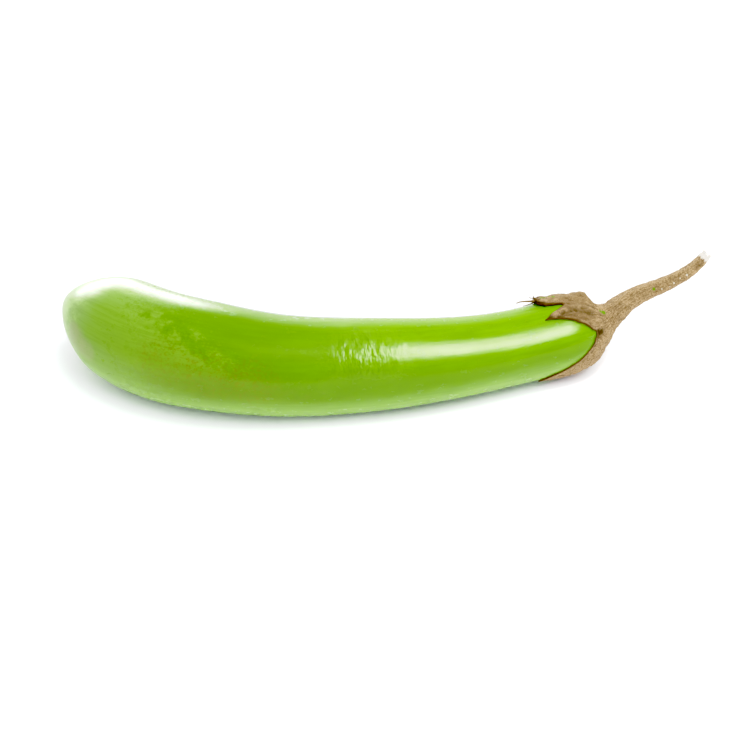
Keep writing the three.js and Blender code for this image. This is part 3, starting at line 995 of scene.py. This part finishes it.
def dry_color(shading, point, place, fibres, grain):
    """Dry tan with a fine grain: darker on two lobes, along the fibres and in blotches, and with
    darker lines on one side of the stem."""
    color = shading.mix(shading.ramp(grain, 0.38, 0.6), DRY_DARK, DRY_PALE)
    darker = shading.ramp(grain, 0.35, 0.65, 0.85, 0.45)
    color = spotted(shading, color, DARKER_LOBE, point, spots_on_fruit(DARK_LOBES), darker)
    color = shading.mix(shading.ramp(fibres, 0.48, 0.64, 0, 0.5), color, DARK_FIBRE)
    flank = shading.ramp(shading.measured("DOT_PRODUCT", place, LINED_SIDE), *LINES_FADE)
    lines = shading.times(flank, shading.ramp(fibres, 0.4, 0.55, 0, 0.4))
    color = shading.mix(lines, color, STEM_LINE)
    shifted = shading.stretched(point, (1, 1, 1), BLOTCH_SHIFT)
    blotches = shading.noise(shifted, BLOTCH_SCALE, 5, 0.7)
    return shading.mix(shading.ramp(blotches, 0.5, 0.66, 0, 0.35), color, DRY_BLOTCH)


def with_shade_and_margins(shading, color):
    """Creases, pits and the furrow darkened as painted shade, the near lobe's dark tip, the
    margins' own darker brown, also put on the inside as painted shade, and paler ridges.
    """
    wrinkle, dark, edge = (shading.level(name) for name in ("wrinkle", "dark", "edge"))
    # Painted shade in the creases; the ridges are paler.
    color = shading.mix(shading.ramp(wrinkle, -3.4, -0.8, 0.65, 0), color, CREASE_SHADE_BROWN)
    color = shading.mix(shading.ramp(wrinkle, 0.6, 2.2, 0, 0.4), color, RIDGE_TAN)
    # Painted shade in the pit and furrow, and the near lobe's dark tip.
    color = shading.mix(dark, color, SHADE_AND_TIP_BROWN)
    # The margins' own darker brown, painted on the inside as shade.
    return shading.mix(shading.times(edge, 0.85), color, MARGIN_AND_UNDERSIDE_SHADE_BROWN)


def calyx_material():
    """Dry tan calyx and stem, with a few flecks that are still green, pale specks on the stem and
    a frayed white end."""
    shading = new_material("dried_calyx")
    place = shading.attribute("place").outputs["Vector"]
    point = shading.millimetres()
    fibres = shading.noise(shading.stretched(place, FIBRE_SCALE), 1.0, 6, 0.65)
    grain = shading.noise(point, GRAIN_SCALE, 6, 0.75)
    color = dry_color(shading, point, place, fibres, grain)
    color = with_shade_and_margins(shading, color)
    green_spots = spots_on_fruit(GREEN_FLECKS) + spots_on_stem(STEM_GREEN_FLECKS)
    color = spotted(shading, color, FLECK_GREEN, point, green_spots)
    color = spotted(shading, color, SPECK_GREY, point, spots_on_stem(STEM_PALE_SPECKS))
    frayed = shading.wavering(shading.level("pale"), fibres, 0.3, 0.3, 0.7)
    color = shading.mix(shading.ramp(frayed, 0.35, 0.65), color, FRAYED_WHITE)
    height = shading.plus(fibres, shading.times(grain, 1.5))
    return shading.finished({
        "Base Color": color, "Normal": shading.bump(height, 0.6, FIBRE_HEIGHT),
        "Roughness": 0.85, "Specular IOR Level": 0.2})


def floor_material():
    return new_material("white_floor").finished({
        "Base Color": (0.95, 0.95, 0.95, 1), "Roughness": 1.0, "Specular IOR Level": 0.0})


def make_floor():
    size = 3.0
    drop = 0.00005
    mesh = bpy.data.meshes.new("floor")
    corners = [(x * size, y * size, -drop) for x, y in ((-1, -1), (1, -1), (1, 1), (-1, 1))]
    mesh.from_pydata(corners, [], [(0, 1, 2, 3)])
    mesh.materials.append(floor_material())
    floor = bpy.data.objects.new("floor", mesh)
    bpy.context.scene.collection.objects.link(floor)
    return floor


def panel(name, centre, target, width, height, radiance):
    """A soft rectangular light, as bright all over as its radiance says."""
    data = bpy.data.lights.new(name, "AREA")
    data.shape = "RECTANGLE"
    data.size = width
    data.size_y = height
    data.energy = radiance * math.pi * width * height
    light = bpy.data.objects.new(name, data)
    light.location = centre
    light.rotation_euler = (Vector(target) - Vector(centre)).to_track_quat("-Z", "Y").to_euler()
    bpy.context.scene.collection.objects.link(light)
    return light


def studio_world():
    """Soft white walls round the object, dim overhead and dimmer in front and on the right."""
    shading = Shading(bpy.data.worlds.new("studio"), "Background")
    direction = shading.node("ShaderNodeTexCoord", {}).outputs["Generated"]
    walls, ceiling = (
        shading.ramp(shading.measured("DOT_PRODUCT", direction, towards), *fade)
        for towards, *fade in (WALLS, CEILING))
    brightness = shading.times(walls, ceiling)
    bpy.context.scene.world = shading.finished({"Color": (1, 1, 1, 1), "Strength": brightness})


def make_lights(floor):
    """The main light is seen in the gloss as a smaller window, so each of them is a panel. A wash
    on the floor alone keeps it white up to the object."""
    studio_world()
    for measures in DIFFUSE_PANELS:
        panel(*measures).visible_glossy = False
    for measures in GLOSS_PANELS:
        panel(*measures).visible_diffuse = False
    wash = panel(*FLOOR_WASH)
    wash.visible_glossy = False
    wash.data.color = WASH_TINT
    washed = bpy.data.collections.new("washed")
    washed.objects.link(floor)
    wash.light_linking.receiver_collection = washed


def set_tone():
    """A plain view of the scene, with its darkest tones pressed to black and bright ones eased."""
    view = bpy.context.scene.view_settings
    view.view_transform = "Standard"
    view.use_curve_mapping = True
    mapping = view.curve_mapping
    mapping.white_level = (BRIGHTEST, BRIGHTEST, BRIGHTEST)
    curve = mapping.curves[3]
    curve.points[0].location = (0, 0)
    curve.points[1].location = (1, 1)
    for radiance, shown in TONES:
        curve.points.new(radiance / BRIGHTEST, shown)
    mapping.update()


def make_camera():
    """The photograph's view: a metre away and 35 degrees up, over a frame of 750 pixels."""
    frame_pixels = 750
    sensor = 36
    distance = 1.0
    metres_per_pixel = 0.00041
    elevation = math.radians(35)
    aim = Vector((-0.0049, 0.006, 0))
    data = bpy.data.cameras.new("camera")
    data.sensor_width = sensor
    data.lens = sensor * distance / (metres_per_pixel * frame_pixels)
    camera = bpy.data.objects.new("camera", data)
    camera.location = aim + distance * Vector((0, -math.cos(elevation), math.sin(elevation)))
    camera.rotation_euler = (math.pi / 2 - elevation, 0, 0)
    bpy.context.scene.collection.objects.link(camera)
    bpy.context.scene.camera = camera


def dress(piece, material, slot, *nodes):
    """Give a piece its look, and let it stand for the nodes that it shows."""
    piece.data.materials.append(material)
    if nodes:
        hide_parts(*nodes)


set_tone()
make_camera()
dried = calyx_material()
dress(make_fruit(), skin_material(), "skin", "fruit")
dress(make_calyx_and_stem(), dried, "dried_calyx", "calyx_and_stem")
dress(make_threads(), dried, "dried_calyx")
make_lights(make_floor())
